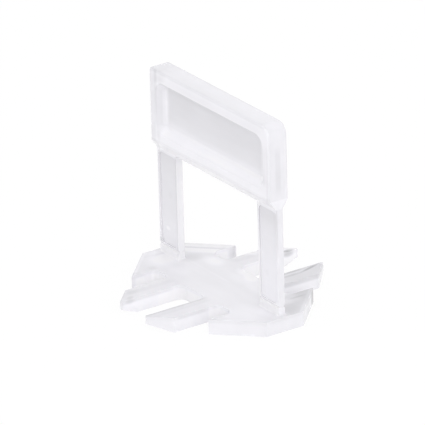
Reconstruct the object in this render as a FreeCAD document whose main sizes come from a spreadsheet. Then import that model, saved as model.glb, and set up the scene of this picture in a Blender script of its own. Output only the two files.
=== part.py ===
import FreeCAD, Part
import math
import os
import Sketcher

# Tile leveling clip moulded in one piece: a comb-edged base plate, two thin break-off
# uprights and a bridging head with a framed recess on each face.
# Millimetres, +Z up, X along the head, Y through its thickness, origin under the base's middle.

os.makedirs("parts", exist_ok=True)

NODE = "leveling_clip"
TINY = 1e-4

# Driving sizes
SIZES = [
    ("base_length", 38.8),
    ("base_thickness", 2.8),
    ("corner_reach", 23.4),
    ("centre_slot_width", 7.4),
    ("side_slot_width", 4.3),
    ("side_slot_offset", 9.85),
    ("slot_root", 6.1),
    ("slot_root_radius", 1.5),
    ("tip_relief_start", 15.9),
    ("tip_thickness", 1.3),
    ("span", 36.9),
    ("upright_width", 5.8),
    ("upright_thickness", 1.4),
    ("window_height", 20.3),
    ("foot_radius", 0.4),
    ("panel_rib", 0.45),
    ("panel_depth", 0.2),
    ("panel_bottom", 2.1),
    ("panel_top_gap", 0.5),
    ("panel_corner_radius", 0.9),
    ("notch_height", 0.6),
    ("notch_depth", 0.3),
    ("notch_offset", 1.6),
    ("head_height", 16.0),
    ("head_thickness", 4.1),
    ("head_bevel_height", 1.9),
    ("head_corner_radius", 2.2),
    ("head_blunt_radius", 0.8),
    ("shoulder_radius", 1.0),
    ("tip_corner_radius", 0.4),
    ("tip_point_radius", 0.3),
    ("frame_side", 1.8),
    ("frame_top", 2.2),
    ("frame_bottom", 1.7),
    ("recess_web", 1.4),
    ("recess_side_slope", 1.8),
    ("recess_top_slope", 0.8),
    ("recess_bottom_slope", 1.4),
    ("recess_mouth_radius", 2.3),
    ("recess_floor_radius", 1.1),
    ("recess_blend", 1.0),
    ("edge_radius", 0.4),
]

# Sizes that follow from the driving ones
DERIVED = [
    ("half_length", "=base_length / 2"),
    ("side_flat", "=corner_reach - base_length / 2"),
    ("centre_slot_half", "=centre_slot_width / 2"),
    ("side_slot_inner", "=side_slot_offset - side_slot_width / 2"),
    ("side_slot_outer", "=side_slot_offset + side_slot_width / 2"),
    ("tip_reach", "=corner_reach - centre_slot_width / 2"),
    ("tip_underside", "=base_thickness - tip_thickness"),
    ("relief_past", "=corner_reach + base_thickness"),
    ("relief_past_height", "=tip_underside * (relief_past - tip_relief_start) / (tip_reach - tip_relief_start)"),
    ("half_span", "=span / 2"),
    ("upright_inner", "=span / 2 - upright_width"),
    ("upright_half", "=upright_thickness / 2"),
    ("upright_start", "=base_thickness / 2"),
    ("head_bottom", "=base_thickness + window_height"),
    ("head_face_bottom", "=head_bottom + head_bevel_height"),
    ("head_top", "=head_bottom + head_height"),
    ("head_half", "=head_thickness / 2"),
    ("panel_inner", "=upright_inner + panel_rib"),
    ("panel_outer", "=half_span - panel_rib"),
    ("panel_low", "=base_thickness + panel_bottom"),
    ("panel_high", "=head_bottom - panel_top_gap"),
    ("notch_middle", "=base_thickness + notch_offset"),
    ("notch_low", "=notch_middle - notch_height / 2"),
    ("notch_high", "=notch_middle + notch_height / 2"),
    ("notch_floor", "=upright_half - notch_depth"),
    ("mouth_side", "=half_span - frame_side"),
    ("mouth_top", "=head_top - frame_top"),
    ("mouth_bottom", "=head_face_bottom + frame_bottom"),
    ("floor_side", "=mouth_side - recess_side_slope"),
    ("floor_top", "=mouth_top - recess_top_slope"),
    ("floor_bottom", "=mouth_bottom + recess_bottom_slope"),
    ("web_half", "=recess_web / 2"),
]

doc = FreeCAD.newDocument("clip")
sheet = doc.addObject("Spreadsheet::Sheet", "Sizes")
for row, (alias, amount) in enumerate(SIZES + DERIVED, start=1):
    cell = f"B{row}"
    sheet.set(f"A{row}", alias)
    sheet.set(cell, str(amount))
    sheet.setAlias(cell, alias)
doc.recompute()

body = doc.addObject("PartDesign::Body", "Clip")
body.Label = NODE


def size(alias):
    """The number a sheet alias holds; a leading minus turns its sign."""
    if alias.startswith("-"):
        return -size(alias[1:])
    if alias == "zero":
        return 0.0
    return float(sheet.get(alias))


def origin_plane(role):
    """The body's own base plane with the given role."""
    return next(item for item in body.Origin.OriginFeatures if item.Role == role)


def new_sketch(name, role, offset=None):
    """A sketch on one of the body's planes, moved out along its normal by a sheet alias."""
    sketch = body.newObject("Sketcher::SketchObject", name)
    sketch.AttachmentSupport = [(origin_plane(role), "")]
    sketch.MapMode = "FlatFace"
    if offset:
        sign = "-" if offset.startswith("-") else ""
        sketch.setExpression("AttachmentOffset.Base.z", f"{sign}Sizes.{offset.lstrip('-')}")
    return sketch


def hold(sketch, kind, geometry, point, alias):
    """Keep one coordinate of a point at the size that an alias names."""
    if alias == "zero":
        line = -2 if kind == "DistanceX" else -1
        sketch.addConstraint(Sketcher.Constraint("PointOnObject", geometry, point, line))
        return
    amount = size(alias)
    if alias.startswith("-"):
        index = sketch.addConstraint(Sketcher.Constraint(kind, geometry, point, -1, 1, -amount))
    else:
        index = sketch.addConstraint(Sketcher.Constraint(kind, -1, 1, geometry, point, amount))
    sketch.setExpression(f"Constraints[{index}]", f"Sizes.{alias.lstrip('-')}")


def polygon(sketch, corners):
    """A closed outline whose corners are pairs of sheet aliases."""
    spots = [FreeCAD.Vector(size(across), size(along), 0) for across, along in corners]
    first = sketch.GeometryCount
    count = len(spots)
    for index in range(count):
        sketch.addGeometry(Part.LineSegment(spots[index], spots[(index + 1) % count]), False)
    for index in range(count):
        following = first + (index + 1) % count
        sketch.addConstraint(Sketcher.Constraint("Coincident", first + index, 2, following, 1))
    for index, (across, along) in enumerate(corners):
        hold(sketch, "DistanceX", first + index, 1, across)
        hold(sketch, "DistanceY", first + index, 1, along)


def rounded_box(sketch, left, right, low, high, radius):
    """A rectangle with four equal round corners, held by sheet aliases."""
    x0, x1, y0, y1, r = size(left), size(right), size(low), size(high), size(radius)
    quarter = math.pi / 2
    first = sketch.GeometryCount
    ends = [
        ((x0 + r, y0), (x1 - r, y0)),
        ((x1, y0 + r), (x1, y1 - r)),
        ((x1 - r, y1), (x0 + r, y1)),
        ((x0, y1 - r), (x0, y0 + r)),
    ]
    for start, end in ends:
        sketch.addGeometry(Part.LineSegment(FreeCAD.Vector(*start, 0), FreeCAD.Vector(*end, 0)), False)
    centres = [(x1 - r, y0 + r), (x1 - r, y1 - r), (x0 + r, y1 - r), (x0 + r, y0 + r)]
    for turn, centre in enumerate(centres):
        circle = Part.Circle(FreeCAD.Vector(*centre, 0), FreeCAD.Vector(0, 0, 1), r)
        start = (turn - 1) * quarter
        sketch.addGeometry(Part.ArcOfCircle(circle, start, start + quarter), False)
    for side in range(4):
        arc = first + 4 + side
        following = first + (side + 1) % 4
        sketch.addConstraint(Sketcher.Constraint("Tangent", first + side, 2, arc, 1))
        sketch.addConstraint(Sketcher.Constraint("Tangent", arc, 2, following, 1))
    for side in (0, 2):
        sketch.addConstraint(Sketcher.Constraint("Horizontal", first + side))
        sketch.addConstraint(Sketcher.Constraint("Vertical", first + side + 1))
    for arc in range(5, 8):
        sketch.addConstraint(Sketcher.Constraint("Equal", first + 4, first + arc))
    index = sketch.addConstraint(Sketcher.Constraint("Radius", first + 4, r))
    sketch.setExpression(f"Constraints[{index}]", f"Sizes.{radius}")
    hold(sketch, "DistanceY", first, 1, low)
    hold(sketch, "DistanceX", first + 1, 1, right)
    hold(sketch, "DistanceY", first + 2, 1, high)
    hold(sketch, "DistanceX", first + 3, 1, left)


def grow(name, sketch, alias, both_ways=False):
    """Add material over a sketch to the depth that an alias names."""
    pad = body.newObject("PartDesign::Pad", name)
    pad.Profile = sketch
    pad.setExpression("Length", f"Sizes.{alias}")
    pad.Midplane = both_ways
    return pad


def cut(name, sketch, through=False, alias=None):
    """Take material away under a sketch, right through or to an alias's depth."""
    pocket = body.newObject("PartDesign::Pocket", name)
    pocket.Profile = sketch
    if through:
        pocket.Type = 1
        pocket.Midplane = True
    else:
        pocket.setExpression("Length", f"Sizes.{alias}")
    return pocket


def mirror(name, feature, roles):
    """Repeat a feature across one or two of the body's planes."""
    if len(roles) == 1:
        copy = body.newObject("PartDesign::Mirrored", name)
        copy.Originals = [feature]
        copy.MirrorPlane = (origin_plane(roles[0]), [""])
        body.Tip = copy
        return copy
    group = body.newObject("PartDesign::MultiTransform", name)
    group.Originals = [feature]
    steps = []
    for role in roles:
        step = body.newObject("PartDesign::Mirrored", f"{name}{role[:2]}")
        step.MirrorPlane = (origin_plane(role), [""])
        steps.append(step)
    group.Transformations = steps
    body.Tip = group
    return group


def edges_where(shape, test):
    """Names of the edges for which the test holds."""
    return [f"Edge{number}" for number, edge in enumerate(shape.Edges, start=1) if test(edge)]


def near(value, target):
    return abs(value - target) < TINY


def straight_along(edge, axis):
    """Whether an edge is straight and runs along the given axis."""
    if edge.Curve.TypeId != "Part::GeomLine":
        return False
    direction = edge.tangentAt(edge.FirstParameter)
    return near(abs(getattr(direction, axis)), 1)


def soften(name, feature, names, alias):
    """Round the named edges of a feature with the radius that an alias names."""
    fillet = body.newObject("PartDesign::Fillet", name)
    fillet.Base = (feature, names)
    fillet.setExpression("Radius", f"Sizes.{alias}")
    doc.recompute()
    return fillet


# Base plate: a square standing on its corner, with the two corners at the ends of X cut flat
outline = new_sketch("BaseOutline", "XY_Plane")
polygon(outline, [
    ("half_length", "-side_flat"),
    ("half_length", "side_flat"),
    ("zero", "corner_reach"),
    ("-half_length", "side_flat"),
    ("-half_length", "-side_flat"),
    ("zero", "-corner_reach"),
])
grow("BasePlate", outline, "base_thickness")

# Slots that turn the front and rear edges into combs
middle = new_sketch("CentreSlotOutline", "XY_Plane")
polygon(middle, [
    ("-centre_slot_half", "slot_root"),
    ("centre_slot_half", "slot_root"),
    ("centre_slot_half", "relief_past"),
    ("-centre_slot_half", "relief_past"),
])
centre_slot = cut("CentreSlot", middle, through=True)
mirror("CentreSlots", centre_slot, ["XZ_Plane"])

aside = new_sketch("SideSlotOutline", "XY_Plane")
polygon(aside, [
    ("side_slot_inner", "slot_root"),
    ("side_slot_outer", "slot_root"),
    ("side_slot_outer", "relief_past"),
    ("side_slot_inner", "relief_past"),
])
side_slot = cut("SideSlot", aside, through=True)
side_slots = mirror("SideSlots", side_slot, ["XZ_Plane", "YZ_Plane"])
doc.recompute()

# Round inner corners of the slots
root = size("slot_root")
corners = edges_where(
    side_slots.Shape,
    lambda edge: straight_along(edge, "z") and near(abs(edge.CenterOfMass.y), root),
)
rounded_slots = soften("SlotCorners", side_slots, corners, "slot_root_radius")


def finger_corners(shape, side):
    """The upright edges where the tips of the long fingers meet the given side of a slot."""
    return edges_where(
        shape,
        lambda edge: straight_along(edge, "z")
        and near(abs(edge.CenterOfMass.x), side)
        and abs(edge.CenterOfMass.y) > root + side,
    )


# Blunted corners at the tips of the long fingers
outer_tips = finger_corners(rounded_slots.Shape, size("side_slot_inner"))
blunt_tips = soften("TipCorners", rounded_slots, outer_tips, "tip_corner_radius")
points = finger_corners(blunt_tips.Shape, size("centre_slot_half"))
soften("TipPoints", blunt_tips, points, "tip_point_radius")

# Underside of the long fingers rises toward their tips
wedge = new_sketch("TipReliefOutline", "YZ_Plane")
polygon(wedge, [
    ("tip_relief_start", "zero"),
    ("relief_past", "zero"),
    ("relief_past", "relief_past_height"),
])
relief = cut("TipRelief", wedge, through=True)
mirror("TipReliefs", relief, ["XZ_Plane"])

# Two uprights joining base and head
post = new_sketch("UprightOutline", "XZ_Plane")
polygon(post, [
    ("upright_inner", "upright_start"),
    ("half_span", "upright_start"),
    ("half_span", "head_face_bottom"),
    ("upright_inner", "head_face_bottom"),
])
upright = grow("Upright", post, "upright_thickness", both_ways=True)
mirror("Uprights", upright, ["YZ_Plane"])

# Head: its cross-section tapers at the bottom to the thickness of the uprights
section = new_sketch("HeadSection", "YZ_Plane")
polygon(section, [
    ("-upright_half", "head_bottom"),
    ("upright_half", "head_bottom"),
    ("head_half", "head_face_bottom"),
    ("head_half", "head_top"),
    ("-head_half", "head_top"),
    ("-head_half", "head_face_bottom"),
])
head = grow("Head", section, "span", both_ways=True)
doc.recompute()

reach, crown = size("half_span"), size("head_top")


def top_corner(shape, side):
    """The head's upper edge along Y at the end of X that the side's sign picks."""
    return edges_where(
        shape,
        lambda edge: straight_along(edge, "y")
        and near(edge.CenterOfMass.x, side * reach)
        and near(edge.CenterOfMass.z, crown),
    )


round_end = soften("RoundCorner", head, top_corner(head.Shape, 1), "head_corner_radius")
soften("BluntCorner", round_end, top_corner(round_end.Shape, -1), "head_blunt_radius")

# Framed recess in each face of the head, its walls sloping in to a thin web
mouth = new_sketch("RecessMouth", "XZ_Plane", "head_half")
rounded_box(mouth, "-mouth_side", "mouth_side", "mouth_bottom", "mouth_top", "recess_mouth_radius")
floor = new_sketch("RecessFloor", "XZ_Plane", "web_half")
rounded_box(floor, "-floor_side", "floor_side", "floor_bottom", "floor_top", "recess_floor_radius")
recess = body.newObject("PartDesign::SubtractiveLoft", "Recess")
recess.Profile = mouth
recess.Sections = [floor]
recess.Ruled = True
doc.recompute()
recesses = mirror("Recesses", recess, ["XZ_Plane"])
doc.recompute()

# Soft blend where the recess walls run into the web
web = size("web_half")
floor_low = size("floor_bottom")
floor_reach = size("floor_side")
floor_edges = edges_where(
    recesses.Shape,
    lambda edge: near(abs(edge.CenterOfMass.y), web)
    and near(edge.BoundBox.YLength, 0)
    and edge.BoundBox.ZMin > floor_low - TINY
    and abs(edge.CenterOfMass.x) < floor_reach + TINY,
)
blended = soften("RecessBlend", recesses, floor_edges, "recess_blend")

# Hollow shoulder where each upright spreads into the head
half_post = size("upright_half")
post_inner = size("upright_inner")
shoulder_height = size("head_bottom")
shoulder_edges = edges_where(
    blended.Shape,
    lambda edge: straight_along(edge, "x")
    and near(abs(edge.CenterOfMass.y), half_post)
    and near(edge.CenterOfMass.z, shoulder_height)
    and abs(edge.CenterOfMass.x) > post_inner,
)
soften("Shoulders", blended, shoulder_edges, "shoulder_radius")

# Shallow panel between ribs on each face of the uprights
panel_outline = new_sketch("PanelOutline", "XZ_Plane", "upright_half")
rounded_box(panel_outline, "panel_inner", "panel_outer", "panel_low", "panel_high", "panel_corner_radius")
panel = cut("Panel", panel_outline, alias="panel_depth")
mirror("Panels", panel, ["XZ_Plane", "YZ_Plane"])

# Break line: a vee across each upright just above the base
vee = new_sketch("NotchOutline", "YZ_Plane")
polygon(vee, [
    ("upright_half", "notch_low"),
    ("upright_half", "notch_high"),
    ("notch_floor", "notch_middle"),
])
notch = cut("Notch", vee, through=True)
notches = mirror("Notches", notch, ["XZ_Plane"])
doc.recompute()

# Small radius where the uprights stand on the base
top = size("base_thickness")
inner = size("upright_inner")
feet = edges_where(
    notches.Shape,
    lambda edge: near(edge.CenterOfMass.z, top)
    and abs(edge.CenterOfMass.y) < size("upright_half") + TINY
    and inner - TINY < abs(edge.CenterOfMass.x) < reach + TINY
    and near(edge.BoundBox.ZLength, 0),
)
rooted = soften("Feet", notches, feet, "foot_radius")

# Broken outer edges of the head's two faces
thick = size("head_half")
face_low = size("head_face_bottom")


def on_head_rim(edge):
    """Whether an edge bounds the outside of one of the head's two flat faces."""
    box = edge.BoundBox
    if not (near(box.YLength, 0) and near(abs(edge.CenterOfMass.y), thick)):
        return False
    if near(box.ZMax, crown) or near(abs(edge.CenterOfMass.x), reach):
        return True
    return near(box.ZLength, 0) and near(box.ZMin, face_low)


rim = edges_where(rooted.Shape, on_head_rim)
finished = soften("HeadRim", rooted, rim, "edge_radius")
body.Tip = finished
doc.recompute()

for item in doc.Objects:
    if "Invalid" in item.State or "Error" in item.State:
        raise RuntimeError(f"{item.Label}: {item.State}")
shape = body.Shape
if shape.isNull() or not shape.isValid() or len(shape.Solids) != 1:
    raise RuntimeError(f"{NODE}: not one valid solid")
shape.exportStep(f"parts/{NODE}.step")
box = shape.BoundBox
print(f"{NODE}: {box.XLength:.2f} x {box.YLength:.2f} x {box.ZLength:.2f} mm, volume {shape.Volume:.1f} mm3")
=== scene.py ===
from collections import namedtuple
import math

import bpy
from mathutils import Matrix, Vector

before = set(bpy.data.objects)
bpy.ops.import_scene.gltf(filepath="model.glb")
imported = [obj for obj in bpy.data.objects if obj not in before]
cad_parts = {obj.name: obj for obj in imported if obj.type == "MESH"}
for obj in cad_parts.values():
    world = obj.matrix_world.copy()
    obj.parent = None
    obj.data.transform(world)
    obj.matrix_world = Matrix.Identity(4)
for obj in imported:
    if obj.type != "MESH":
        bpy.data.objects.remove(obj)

# Looks of a moulded tile leveling clip: natural, milky translucent plastic on a plain white floor.
# +Z up, X along the head, Y through its thickness, origin under the base's middle.
# The scene is in metres. Places on the clip, as the plastic uses them, are in millimetres.

MM_PER_M = 1000
BASE_TOP = 2.8

# Where the 45 degree sides of the base would meet its middle lines, and what makes a length
# along X or Y the distance from such a side
CORNER_REACH = 23.4
TO_DIAGONAL = math.sqrt(0.5)

# Viewpoint: where the photograph was taken from, solved from the clip's edges
VIEW_AZIMUTH = math.radians(55.777)
VIEW_ELEVATION = math.radians(23.286)
VIEW_ROLL = math.radians(-1.571)
VIEW_DISTANCE = 1.4229
AIM_LEFT = 0.001733
AIM_UP = 0.012420
SENSOR_WIDTH = 36.0
IMAGE_WIDTH_AT_OBJECT = 0.075893
NEAREST_SEEN = 0.01
FARTHEST_SEEN = 20

# Plastic: tone is how much red light it throws back, and the tints are green and blue as shares
# of that
REFRACTION = 1.49
TRANSMISSION = 0.2
MILK_TONE = 0.93
PALEST_TONE = 0.985
TINT_GREEN = 0.992
TINT_BLUE = 1.035
LEAST_ROUGH = 0.15
HAZE_ROUGH = 0.1

# Clouds in the plastic: an even haze, and flow marks drawn out along the head. Scale is how many
# go to a millimetre on X, Y and Z, and depth is how far apart their darkest and palest tones are.
HAZE_SCALE = (0.22, 0.22, 0.22)
HAZE_DETAIL = 3
HAZE_DEPTH = 0.03
FLOW_SCALE = (0.1, 0.45, 0.45)
FLOW_DETAIL = 2
FLOW_DEPTH = 0.07
MIDDLE_CLOUD = 0.5

# How much of a face's normal lies along a direction when it starts to count as facing there,
# and when it counts in full
TURN_START = 0.3
TURN_FULL = 0.9

# Heights between which the base's look gives way to the uprights', and theirs to the head's
POST_START = (2.85, 3.0)
HEAD_START = (22.9, 23.3)

# Studio
WHITE = (1, 1, 1, 1)
FLOOR_SIZE = 6.0
FLOOR_HEIGHT = -0.00002
FLOOR_TONE = 0.95
ROOM_LIGHT = 1.0

# How much of the floor glows white and so takes no shadow: as seen directly, and for the soft
# light that it throws back at the clip, which brightens the slots
FLOOR_GLOW = 0.93
FLOOR_FILL = 0.85

# Softboxes: name, place and power
LAMP_SIZE = 0.4
LAMPS = (
    ("right", (0.55, -0.1, 0.3), 0.9),
    ("front", (-0.15, -0.5, 0.12), 0.25),
)

# Limits of a zone. A plain name is a mask that surface() gives, or a place that zones share. The
# others go along x, y or z, wide or deep, which are the distances from the middle along X and Y,
# or from_side, which is the distance inside a 45 degree side of the base.
# Edge: 0 up to low and 1 from high on, where high may be the smaller.
# Strip: 1 within half of the middle, fading to 0 over the soft width.
# Either: where one or the other of two limits holds.
Edge = namedtuple("Edge", "along low high")
Strip = namedtuple("Strip", "along middle half soft")
Either = namedtuple("Either", "first second")

# A zone is painted light or shade: it makes the plastic lighter or darker by its factor, where all its
# limits hold
Zone = namedtuple("Zone", "name factor limits")

# A mark does so in a soft oval, with its centre, its reach and its turn in degrees on X, Y and Z.
# It has its full strength in its core, a share of its reach. Marks on the broad faces and on the
# base's top reach so far through the plastic that their depth hardly counts.
# Marks are painted shade, painted highlights and painted refraction lines, apart from the ejector marks,
# which the plastic has itself
Mark = namedtuple("Mark", "name factor centre reach turn")
MARK_CORE = 0.2
THROUGH = 9.0


def face_mark(name, factor, x, z, reach_x, reach_z, turn=0):
    """A mark on the broad faces of head and uprights."""
    return Mark(name, factor, (x, 0, z), (reach_x, THROUGH, reach_z), (0, turn, 0))


def top_mark(name, factor, x, y, reach_x, reach_y, turn=0):
    """A mark on the top of the base."""
    return Mark(name, factor, (x, y, BASE_TOP), (reach_x, reach_y, THROUGH), (0, 0, turn))


def wall_mark(name, factor, centre, reach):
    """A mark on the walls of the base."""
    return Mark(name, factor, centre, reach, (0, 0, 0))


# Head: painted light and shade: a paler thick frame, a greyer thin web, and painted shade lines and
# refraction lines along its rims and edges
HEAD_PLACES = {
    "web": (
        Edge("deep", 1.7, 1.0), Edge("wide", 15.0, 13.9), Edge("z", 28.0, 29.8), Edge("z", 36.6, 36.3),
    ),
    "inside": (Edge("deep", 2.04, 1.98), Edge("z", 26.3, 26.6)),
    "face": (Edge("deep", 1.8, 2.0),),
}
HEAD_LIGHT_AND_SHADE = (
    # Painted light and shade by facing: darker ends with painted shade along the web's line on them and a
    # paler rear strip, a slightly darker top
    Zone("ends", 0.93, ("faces_end",)),
    Zone("web through the ends", 0.92, (
        "faces_end", Strip("y", -0.1, 0.3, 0.5), Strip("z", 30.5, 2.5, 3.0),
    )),
    Zone("rear strip of the ends", 1.02, ("faces_end", Edge("y", 1.0, 1.6))),
    Zone("top", 0.99, ("faces_up",)),
    # Painted shade on the thin web, darker under its top wall and lighter at its foot; painted light on the
    # lower recess wall, painted shade and a painted highlight on the left recess wall
    Zone("web", 0.865, ("web",)),
    Zone("upper web", 0.97, ("web", Edge("z", 29.5, 34.5))),
    Zone("web under its top wall", 0.95, ("web", Edge("z", 34.2, 35.9), Edge("x", 8.0, -2.0))),
    Zone("foot of the web", 1.03, ("web", Edge("z", 31.5, 28.8))),
    Zone("lower recess wall", 1.05, ("inside", Strip("z", 27.6, 0.5, 0.5), Edge("wide", 16.6, 15.6))),
    Zone("left recess wall", 0.97, ("inside", Edge("x", -14.6, -15.6))),
    Zone("glint on the left wall", 1.07, (
        "inside", Strip("x", -15.2, 0.15, 0.4), Strip("z", 32.0, 3.0, 0.8),
    )),
    # Painted shade lines along the upper rim, the left rim, above the bevel, beside the mouth and on the
    # right frame; painted light on the bevel
    Zone("upper rim", 0.93, (Edge("z", 38.3, 38.7), Edge("deep", 1.5, 1.85))),
    Zone("left rim", 0.95, ("face", Edge("x", -16.6, -17.0))),
    Zone("line inside the left rim", 0.88, ("face", Strip("x", -16.45, 0.2, 0.4), Edge("z", 27.0, 36.5))),
    Zone("line above the bevel", 0.95, ("faces_front", Strip("z", 25.15, 0.15, 0.3))),
    Zone("bevel", 1.07, (Edge("z", 25.0, 24.8),)),
    Zone("line beside the mouth", 0.94, ("face", Strip("x", 16.9, 0.3, 0.3), Strip("z", 31.0, 2.5, 2.0))),
    Zone("line on the right frame", 0.94, ("face", Strip("x", 17.9, 0.2, 0.4), Edge("z", 36.0, 33.0))),
)
HEAD_FRONT = (Edge("y", 0.0, -0.6),)
HEAD_MARKS = (
    # Painted shade and painted highlights on the head's front: dark streaks at the shoulders, a pale streak
    # on the bevel, a highlight at the mouth's upper corner, shade at the upper left corner and on the web
    # there
    face_mark("left shoulder streak", 0.86, -17.2, 24.0, 0.5, 1.9, 45),
    face_mark("inner shoulder streak", 0.95, -14.2, 24.2, 0.5, 2.2, 50),
    face_mark("left corner above the bevel", 0.93, -15.9, 26.5, 0.8, 1.6),
    face_mark("pale streak on the bevel", 1.04, -10.5, 24.0, 0.5, 2.6, 60),
    face_mark("right shoulder streak", 0.94, 16.8, 24.2, 0.5, 2.4, 40),
    face_mark("glint at the mouth's upper corner", 1.09, -15.9, 36.1, 1.4, 1.1),
    face_mark("upper left corner", 0.94, -14.8, 38.2, 2.4, 1.6),
    face_mark("below the upper left corner", 0.94, -15.6, 37.3, 2.6, 1.3),
    face_mark("greyer web at the upper left", 0.975, -9.0, 33.6, 5.5, 3.2),
)

# Uprights: painted light and shade: grey on their broad faces, pale on their sides
POST_PLACES = {
    "right_side": ("faces_end", Edge("x", 0.0, 1.0)),
}
POST_LIGHT_AND_SHADE = (
    # Painted shade on the broad faces: darker high up, lighter low down and just below and above the panels
    Zone("broad faces", 0.885, ("broad",)),
    Zone("upper panels", 0.95, ("broad", Edge("z", 16.5, 22.5))),
    Zone("lower panels", 1.07, ("broad", Edge("z", 16.0, 6.0))),
    Zone("below the panels", 1.1, ("broad", Edge("z", 4.6, 4.1))),
    Zone("above the panels", 1.16, ("broad", Edge("z", 22.3, 22.7))),
    # Painted light and shade lines along the ribs and the right upright's panel edge, and painted light on
    # the right upright's lower part
    Zone("left upright's outer rib", 1.06, ("broad", Strip("x", -18.25, 0.15, 0.3))),
    Zone("left upright's inner rib", 0.93, ("broad", Strip("x", -12.75, 0.1, 0.25))),
    Zone("right upright's inner rib", 1.06, ("broad", Strip("x", 12.9, 0.15, 0.3))),
    Zone("right upright's panel edge", 1.1, ("broad", Strip("x", 13.15, 0.1, 0.25))),
    Zone("right upright", 1.075, ("broad", Edge("x", 0.0, 1.0), Edge("z", 24.0, 14.0))),
    # Painted light on the feet and on the break notches' up-facing faces
    Zone("feet", 1.08, ("broad", Edge("z", 4.0, 3.4))),
    Zone("painted light on the break lines", 1.1, ("broad", Strip("z", 4.4, 0.3, 0.25))),
    # Painted shade on the right sides with a darker line by the rib, and painted light at their feet and on
    # the left sides
    Zone("right side", 0.94, ("right_side",)),
    Zone("rib line on the right side", 0.86, ("right_side", Edge("y", -0.35, -0.6), Edge("z", 13.0, 19.0))),
    Zone("foot of the right side", 1.06, ("right_side", Edge("z", 4.6, 4.1))),
    Zone("left side", 1.06, ("faces_end", Edge("x", 0.0, -1.0))),
)
POST_FRONT = ("faces_front",)
POST_MARKS = (
    # A painted highlight, and painted shade along the left rib and at the left panel's lower corner; the
    # two ejector marks are the plastic's own
    face_mark("left ejector glint", 1.12, -16.0, 8.0, 0.9, 0.6),
    face_mark("line along the left rib", 0.96, -17.9, 14.0, 0.4, 11.0),
    face_mark("left panel's lower corner", 0.8, -17.9, 5.2, 0.9, 0.7),
    face_mark("left ejector mark", 0.97, -15.0, 14.7, 0.9, 0.9),
    face_mark("right ejector mark", 0.97, 14.9, 10.0, 0.9, 0.9),
)

# Base plate: painted light and shade: greyer on top, pale on its cut sides, with painted refraction lines
# where the far walls show through
BASE_PLACES = {
    "in_slot": ("sides", Edge("from_side", 0.3, 0.8), Edge("wide", 12.6, 12.2)),
    "rear": (Edge("y", 6.0, 8.0),),
    "front": (Edge("y", -5.5, -7.5),),
    "rear_right": ("faces_up", "rear", Edge("x", 2.5, 3.5)),
    "rear_left": ("faces_up", Edge("x", -2.5, -3.5), Edge("y", 1.0, 3.0)),
}
BASE_LIGHT_AND_SHADE = (
    # Painted light and shade by facing; painted light lifts the slot walls and roots out of their shade
    Zone("top", 0.945, ("faces_up",)),
    Zone("walls", 0.96, ("sides",)),
    Zone("front right side", 1.02, (
        "sides", Edge("from_side", 0.8, 0.3), Edge("x", 7.0, 8.0), Edge("y", -4.0, -5.0),
    )),
    Zone("slot walls", 1.03, ("in_slot",)),
    Zone("left slots and front roots", 1.08, (
        "in_slot", Either(Edge("x", 7.0, 5.0), Strip("y", -7.0, 1.0, 0.7)),
    )),
    # Painted shade along the walls' upper edges
    Zone("upper edge of the walls", 0.95, ("sides", Edge("z", 1.9, 2.5))),
    Zone("upper edge of the front slots", 0.92, ("in_slot", Edge("y", -8.0, -9.5), Edge("z", 2.0, 2.4))),
    Zone("long left finger's wall", 0.97, ("in_slot", Edge("y", -10.0, -12.5), Edge("x", 0.0, -1.0))),
    # Painted shade and painted refraction lines on the rear right fingers; painted light and a painted
    # refraction line on the rear left fingers
    Zone("rear right fingers", 0.88, ("rear_right",)),
    Zone("long rear right finger's left edge", 0.78, (
        "rear_right", Strip("x", 3.8, 0.3, 0.5), Edge("y", 16.0, 13.5),
    )),
    Zone("upper edge of the rear right walls", 0.84, (
        "sides", "rear", Edge("x", 2.5, 3.5), Edge("z", 1.7, 2.2),
    )),
    Zone("rear left fingers", 1.15, ("rear_left", Edge("from_side", 4.6, 3.2))),
    Zone("line along the rear left side", 0.84, ("rear_left", Strip("from_side", 1.85, 0.15, 0.4))),
    # Painted shade on the rear right corner, painted light behind the uprights and along the front left
    # edge, and painted refraction lines along the fingers
    Zone("rear right corner", 0.89, (
        "faces_up", Edge("x", 11.0, 12.5), Edge("y", 0.0, 2.0), Edge("from_side", 0.4, 0.9),
    )),
    Zone("painted light behind the uprights", 1.025, (
        "faces_up", Strip("y", 0.95, 0.1, 0.3), Strip("x", -6.2, 6.0, 1.5),
    )),
    Zone("front left edge", 1.06, (
        "faces_up", Edge("x", -11.0, -12.0), Edge("y", 0.0, -1.0), Edge("from_side", 0.8, 0.4),
    )),
    Zone("line along the front left finger", 0.95, ("faces_up", "front", Strip("x", -6.1, 0.3, 0.7))),
    Zone("line along the front right finger", 0.95, ("faces_up", "front", Strip("x", 4.8, 0.3, 0.7))),
    Zone("line along the rear left finger", 0.95, ("faces_up", "rear", Strip("x", -6.3, 0.3, 0.7))),
    Zone("long front right finger's left edge", 0.86, ("faces_up", "front", Strip("x", 3.8, 0.2, 0.35))),
)
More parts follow.
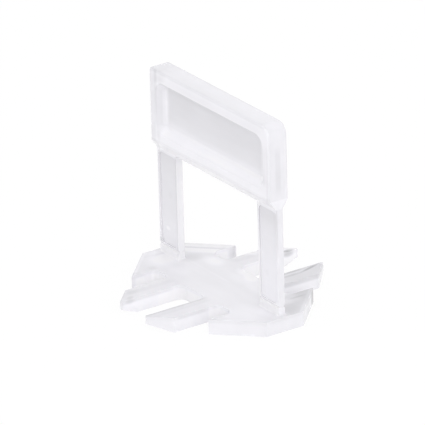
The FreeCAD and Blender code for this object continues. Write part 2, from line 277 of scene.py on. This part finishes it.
TOP_MARKS = (
    # Painted shade behind the left upright; painted light on the slot roots, the middle, the left end and
    # in front of the uprights, where shade falls
    top_mark("dark behind the left upright", 0.9, -12.4, 2.0, 2.4, 2.8),
    top_mark("pale root of the rear middle slot", 1.12, -1.0, 5.6, 3.0, 1.5),
    top_mark("right part of the same root", 1.1, 1.8, 5.2, 2.4, 1.6),
    top_mark("pale root of the rear left slot", 1.12, -8.6, 4.4, 3.4, 2.4),
    top_mark("pale band behind the middle", 1.06, 4.0, 4.0, 6.0, 2.2, -25),
    top_mark("pale middle", 1.04, 0.6, 3.4, 3.6, 2.2),
    top_mark("left end", 1.07, -18.6, -2.4, 1.4, 3.0),
    top_mark("pale left front", 1.12, -14.8, -2.6, 4.2, 4.0),
    top_mark("front of the left upright", 1.04, -15.4, -1.6, 3.6, 1.6),
    top_mark("root of the front left slot", 1.05, -9.0, -3.0, 3.4, 2.6),
    top_mark("pale right front", 1.06, 14.0, -5.0, 6.0, 5.5, -45),
    top_mark("front of the right upright", 1.06, 15.6, -1.6, 3.4, 2.0),
    # Painted shade spots at the tips, roots and edges of the fingers
    top_mark("grey tip of the long left finger", 0.97, -5.6, -17.0, 2.4, 3.6),
    top_mark("painted shade spot on the long left finger", 0.92, -6.4, -15.2, 1.2, 2.0),
    top_mark("painted shade spot at its inner edge", 0.88, -4.4, -16.9, 0.7, 1.3, 30),
    top_mark("painted shade spot at the left end", 0.93, -17.2, -1.6, 0.7, 1.8),
    top_mark("left short finger's root", 0.92, -12.8, -6.3, 1.4, 1.3),
    top_mark("left short finger's edge", 0.93, -12.6, -10.2, 0.9, 1.6),
    top_mark("right short finger's tip", 0.92, 12.4, -10.8, 1.1, 1.2),
    top_mark("ejector mark on the rear left finger", 0.62, -4.0, 17.3, 1.1, 1.6),
    # Painted refraction lines and spots on the rear right finger and corner, where their far edges show
    # through the plastic
    top_mark("dark line to the rear right tip", 0.66, 4.6, 15.8, 0.45, 3.2, 15),
    top_mark("dark line on the rear right finger", 0.86, 5.2, 11.5, 0.6, 3.0),
    top_mark("pale line beside it", 1.1, 4.2, 12.4, 0.8, 4.6),
    top_mark("pale rear right tip", 1.25, 4.1, 19.2, 0.9, 0.9),
    top_mark("dark line on the rear right corner", 0.87, 13.6, 6.8, 0.5, 2.5),
    top_mark("dark line at its slot", 0.92, 12.2, 8.4, 0.5, 2.2),
    top_mark("grey right end", 0.92, 16.9, 3.0, 2.2, 4.2, 45),
    top_mark("pale spot on the rear right corner", 1.12, 14.1, 4.0, 1.7, 1.9),
    top_mark("grey spot beside it", 0.95, 15.8, 6.0, 1.6, 1.6),
)
WALL_MARKS = (
    # Painted shade at the end of the rear left slot, on the rear right side and corner, and in a spot on
    # the long left finger's wall
    wall_mark("end of the rear left slot", 0.86, (-12.0, 10.5, 1.5), (0.8, 1.2, 1.8)),
    wall_mark("ejector mark's wall", 0.72, (-3.7, 17.0, 2.4), (0.8, 1.8, 0.9)),
    wall_mark("dark corner of the rear right side", 0.56, (12.8, 10.6, 1.3), (1.9, 1.9, 2.4)),
    wall_mark("grey rear right side", 0.9, (15.8, 7.6, 0.8), (2.6, 2.6, 1.6)),
    wall_mark("painted shade spot in the long left finger's wall", 0.88, (-3.7, -17.4, 2.5), (0.9, 1.4, 0.7)),
)


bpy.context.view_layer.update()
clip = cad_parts["leveling_clip"]


def add_camera():
    """A long lens at the photograph's viewpoint."""
    right = Vector((math.cos(VIEW_AZIMUTH), math.sin(VIEW_AZIMUTH), 0))
    back = Vector((
        math.sin(VIEW_AZIMUTH) * math.cos(VIEW_ELEVATION),
        -math.cos(VIEW_AZIMUTH) * math.cos(VIEW_ELEVATION),
        math.sin(VIEW_ELEVATION),
    ))
    up = back.cross(right)
    right_rolled = math.cos(VIEW_ROLL) * right + math.sin(VIEW_ROLL) * up
    up_rolled = math.cos(VIEW_ROLL) * up - math.sin(VIEW_ROLL) * right
    aim = Vector((0, 0, BASE_TOP / MM_PER_M)) - AIM_LEFT * right_rolled + AIM_UP * up_rolled
    place = aim + VIEW_DISTANCE * back
    data = bpy.data.cameras.new("photo_view")
    data.sensor_width = SENSOR_WIDTH
    data.lens = SENSOR_WIDTH * VIEW_DISTANCE / IMAGE_WIDTH_AT_OBJECT
    data.clip_start = NEAREST_SEEN
    data.clip_end = FARTHEST_SEEN
    camera = bpy.data.objects.new("photo_view", data)
    turn = Matrix((right_rolled, up_rolled, back)).transposed()
    camera.matrix_world = Matrix.Translation(place) @ turn.to_4x4()
    bpy.context.scene.collection.objects.link(camera)
    bpy.context.scene.camera = camera


def link(tree, output, target):
    """Join an output to another node's input."""
    tree.links.new(output, target)


def calc(tree, operation, *amounts):
    """One Math node: numbers are typed in and sockets are linked."""
    node = tree.nodes.new("ShaderNodeMath")
    node.operation = operation
    for place, amount in enumerate(amounts):
        if isinstance(amount, (int, float)):
            node.inputs[place].default_value = amount
        else:
            link(tree, amount, node.inputs[place])
    return node.outputs[0]


def slide(tree, value, low, high):
    """0 up to low and 1 from high on, with a smooth change between; high may be the smaller."""
    node = tree.nodes.new("ShaderNodeMapRange")
    node.interpolation_type = "SMOOTHSTEP"
    link(tree, value, node.inputs["Value"])
    node.inputs["From Min"].default_value = low
    node.inputs["From Max"].default_value = high
    return node.outputs["Result"]


def all_of(tree, first, *others):
    """Where all the masks hold."""
    total = first
    for mask in others:
        total = calc(tree, "MULTIPLY", total, mask)
    return total


def shade(tree, tone, mask, factor, name):
    """The tone times the factor where the mask is 1."""
    change = calc(tree, "MULTIPLY_ADD", mask, factor - 1, 1.0)
    change.node.label = name
    return calc(tree, "MULTIPLY", tone, change)


def swap(tree, before, after, mask):
    """The first value where the mask is 0 and the second where it is 1."""
    change = calc(tree, "SUBTRACT", after, before)
    return calc(tree, "MULTIPLY_ADD", change, mask, before)


def scaled(tree, spot, scale):
    """A place with its X, Y and Z each times a number."""
    node = tree.nodes.new("ShaderNodeMapping")
    node.inputs["Scale"].default_value = scale
    link(tree, spot, node.inputs["Vector"])
    return node.outputs["Vector"]


def surface(tree):
    """Place on the clip in millimetres and direction that the surface faces, by name."""
    place = tree.nodes.new("ShaderNodeTexCoord")
    spot = scaled(tree, place.outputs["Object"], (MM_PER_M, MM_PER_M, MM_PER_M))
    parts = tree.nodes.new("ShaderNodeSeparateXYZ")
    link(tree, spot, parts.inputs["Vector"])
    facing = tree.nodes.new("ShaderNodeSeparateXYZ")
    link(tree, place.outputs["Normal"], facing.inputs["Vector"])
    x, y, z = parts.outputs
    wide = calc(tree, "ABSOLUTE", x)
    deep = calc(tree, "ABSOLUTE", y)
    inward = calc(tree, "SUBTRACT", CORNER_REACH, calc(tree, "ADD", wide, deep))
    faces_up = slide(tree, facing.outputs[2], TURN_START, TURN_FULL)
    faces_end = slide(tree, calc(tree, "ABSOLUTE", facing.outputs[0]), TURN_START, TURN_FULL)
    return {
        "spot": spot,
        "x": x,
        "y": y,
        "z": z,
        "wide": wide,
        "deep": deep,
        "from_side": calc(tree, "MULTIPLY", inward, TO_DIAGONAL),
        "faces_up": faces_up,
        "sides": calc(tree, "SUBTRACT", 1.0, faces_up),
        "faces_end": faces_end,
        "broad": calc(tree, "SUBTRACT", 1.0, faces_end),
        "faces_front": slide(tree, facing.outputs[1], -TURN_START, -TURN_FULL),
    }


def holds(tree, at, limit):
    """The mask of one limit."""
    if isinstance(limit, Edge):
        return slide(tree, at[limit.along], limit.low, limit.high)
    if isinstance(limit, Strip):
        apart = calc(tree, "ABSOLUTE", calc(tree, "SUBTRACT", at[limit.along], limit.middle))
        return slide(tree, apart, limit.half + limit.soft, limit.half)
    if isinstance(limit, Either):
        return calc(tree, "MAXIMUM", holds(tree, at, limit.first), holds(tree, at, limit.second))
    return at[limit]


def mask_of(tree, at, limits):
    """Where all the limits hold."""
    return all_of(tree, *[holds(tree, at, limit) for limit in limits])


def add_zones(tree, at, tone, places, zones):
    """The tone with each of the zones laid on it."""
    known = dict(at)
    for name, limits in places.items():
        known[name] = mask_of(tree, known, limits)
    for zone in zones:
        tone = shade(tree, tone, mask_of(tree, known, zone.limits), zone.factor, zone.name)
    return tone


def oval(tree, at, mark):
    """1 in the core of a mark, fading to 0 at its reach."""
    node = tree.nodes.new("ShaderNodeMapping")
    node.vector_type = "TEXTURE"
    node.inputs["Location"].default_value = mark.centre
    node.inputs["Rotation"].default_value = [math.radians(angle) for angle in mark.turn]
    node.inputs["Scale"].default_value = mark.reach
    link(tree, at["spot"], node.inputs["Vector"])
    length = tree.nodes.new("ShaderNodeVectorMath")
    length.operation = "LENGTH"
    link(tree, node.outputs["Vector"], length.inputs[0])
    return slide(tree, length.outputs["Value"], 1.0, MARK_CORE)


def add_marks(tree, at, tone, limits, marks):
    """The tone with each of the marks laid on it where the limits hold."""
    mask = mask_of(tree, at, limits)
    for mark in marks:
        tone = shade(tree, tone, all_of(tree, mask, oval(tree, at, mark)), mark.factor, mark.name)
    return tone


def head_tone(tree, at, tone):
    """The tone with the head's painted light and shade on it, as zones and marks."""
    tone = add_zones(tree, at, tone, HEAD_PLACES, HEAD_LIGHT_AND_SHADE)
    return add_marks(tree, at, tone, HEAD_FRONT, HEAD_MARKS)


def post_tone(tree, at, tone):
    """The tone with the uprights' painted light and shade and their ejector marks on it."""
    tone = add_zones(tree, at, tone, POST_PLACES, POST_LIGHT_AND_SHADE)
    return add_marks(tree, at, tone, POST_FRONT, POST_MARKS)


def base_tone(tree, at, tone):
    """The tone with the base plate's painted light and shade and its ejector mark on it."""
    tone = add_zones(tree, at, tone, BASE_PLACES, BASE_LIGHT_AND_SHADE)
    tone = add_marks(tree, at, tone, ("faces_up",), TOP_MARKS)
    return add_marks(tree, at, tone, ("sides",), WALL_MARKS)


def noise(tree, spot, scale, detail):
    """Soft clouds from 0 to 1."""
    node = tree.nodes.new("ShaderNodeTexNoise")
    node.inputs["Scale"].default_value = 1.0
    node.inputs["Detail"].default_value = detail
    link(tree, scaled(tree, spot, scale), node.inputs["Vector"])
    return node.outputs["Fac"]


def clouded(tree, tone, clouds, depth):
    """The tone, lighter and darker by up to half the depth where the clouds are."""
    return calc(tree, "MULTIPLY_ADD", calc(tree, "SUBTRACT", clouds, MIDDLE_CLOUD), depth, tone)


def plastic():
    """Natural polypropylene: milky and slightly blue-white, with painted shade that makes it greyer where
    it is thin, and painted light and shade by how each face meets the light.
    """
    material = bpy.data.materials.new("natural_plastic")
    material.use_nodes = True
    tree = material.node_tree
    shader = tree.nodes["Principled BSDF"]
    shader.inputs["IOR"].default_value = REFRACTION
    shader.inputs["Transmission Weight"].default_value = TRANSMISSION
    at = surface(tree)

    haze = noise(tree, at["spot"], HAZE_SCALE, HAZE_DETAIL)
    flow = noise(tree, at["spot"], FLOW_SCALE, FLOW_DETAIL)
    milky = clouded(tree, MILK_TONE, haze, HAZE_DEPTH)
    milky = clouded(tree, milky, flow, FLOW_DEPTH)

    above_base = slide(tree, at["z"], *POST_START)
    on_head = slide(tree, at["z"], *HEAD_START)
    # Each piece's tone carries its painted light and shade, laid on as zones and marks
    tone = swap(tree, base_tone(tree, at, milky), post_tone(tree, at, milky), above_base)
    tone = swap(tree, tone, head_tone(tree, at, milky), on_head)

    tone = calc(tree, "MINIMUM", tone, PALEST_TONE)
    colour = tree.nodes.new("ShaderNodeCombineColor")
    link(tree, tone, colour.inputs[0])
    link(tree, calc(tree, "MULTIPLY", tone, TINT_GREEN), colour.inputs[1])
    link(tree, calc(tree, "MINIMUM", calc(tree, "MULTIPLY", tone, TINT_BLUE), 1.0), colour.inputs[2])
    link(tree, colour.outputs[0], shader.inputs["Base Color"])

    gloss = calc(tree, "MULTIPLY_ADD", haze, HAZE_ROUGH, LEAST_ROUGH)
    link(tree, gloss, shader.inputs["Roughness"])
    return material


def seen_directly(tree):
    """1 for what the camera sees, also in gloss and through clear plastic."""
    path = tree.nodes.new("ShaderNodeLightPath")
    first = calc(tree, "ADD", path.outputs["Is Camera Ray"], path.outputs["Is Glossy Ray"])
    seen = calc(tree, "ADD", first, path.outputs["Is Transmission Ray"])
    seen.node.use_clamp = True
    return seen


def white_light(tree, kind, strength=1.0):
    """A plain white Emission or Background."""
    node = tree.nodes.new(kind)
    node.inputs["Color"].default_value = WHITE
    node.inputs["Strength"].default_value = strength
    return node.outputs[0]


def show_blend(tree, output_kind, share, first, second):
    """Send a blend of two shaders to the output, by the share of the second."""
    blend = tree.nodes.new("ShaderNodeMixShader")
    for place, value in enumerate((share, first, second)):
        link(tree, value, blend.inputs[place])
    out = tree.nodes.new(output_kind)
    link(tree, blend.outputs[0], out.inputs["Surface"])


def add_floor():
    """A white floor that keeps a faint shadow and throws light into the slots."""
    bpy.ops.mesh.primitive_plane_add(size=FLOOR_SIZE, location=(0, 0, FLOOR_HEIGHT))
    floor = bpy.context.object
    floor.name = "floor"
    material = bpy.data.materials.new("white_floor")
    material.use_nodes = True
    tree = material.node_tree
    tree.nodes.clear()
    matt = tree.nodes.new("ShaderNodeBsdfDiffuse")
    matt.inputs["Color"].default_value = (FLOOR_TONE, FLOOR_TONE, FLOOR_TONE, 1)
    glow = white_light(tree, "ShaderNodeEmission")
    share = calc(tree, "MULTIPLY_ADD", seen_directly(tree), FLOOR_GLOW - FLOOR_FILL, FLOOR_FILL)
    show_blend(tree, "ShaderNodeOutputMaterial", share, matt.outputs[0], glow)
    floor.data.materials.append(material)


def add_world():
    """Even studio light, seen as white behind the object."""
    world = bpy.data.worlds.new("studio")
    bpy.context.scene.world = world
    world.use_nodes = True
    tree = world.node_tree
    tree.nodes.clear()
    room = white_light(tree, "ShaderNodeBackground", ROOM_LIGHT)
    white = white_light(tree, "ShaderNodeBackground")
    show_blend(tree, "ShaderNodeOutputWorld", seen_directly(tree), room, white)


def add_lamp(name, place, power):
    """A square softbox that faces the object."""
    data = bpy.data.lights.new(name, "AREA")
    data.size = LAMP_SIZE
    data.energy = power
    lamp = bpy.data.objects.new(name, data)
    lamp.location = place
    lamp.rotation_euler = Vector(place).to_track_quat("Z", "Y").to_euler()
    bpy.context.scene.collection.objects.link(lamp)


add_camera()
add_floor()
add_world()
for lamp_name, lamp_place, lamp_power in LAMPS:
    add_lamp(lamp_name, lamp_place, lamp_power)

finish = plastic()
for slot in clip.material_slots:
    slot.material = finish

bpy.context.scene.view_settings.view_transform = "Standard"
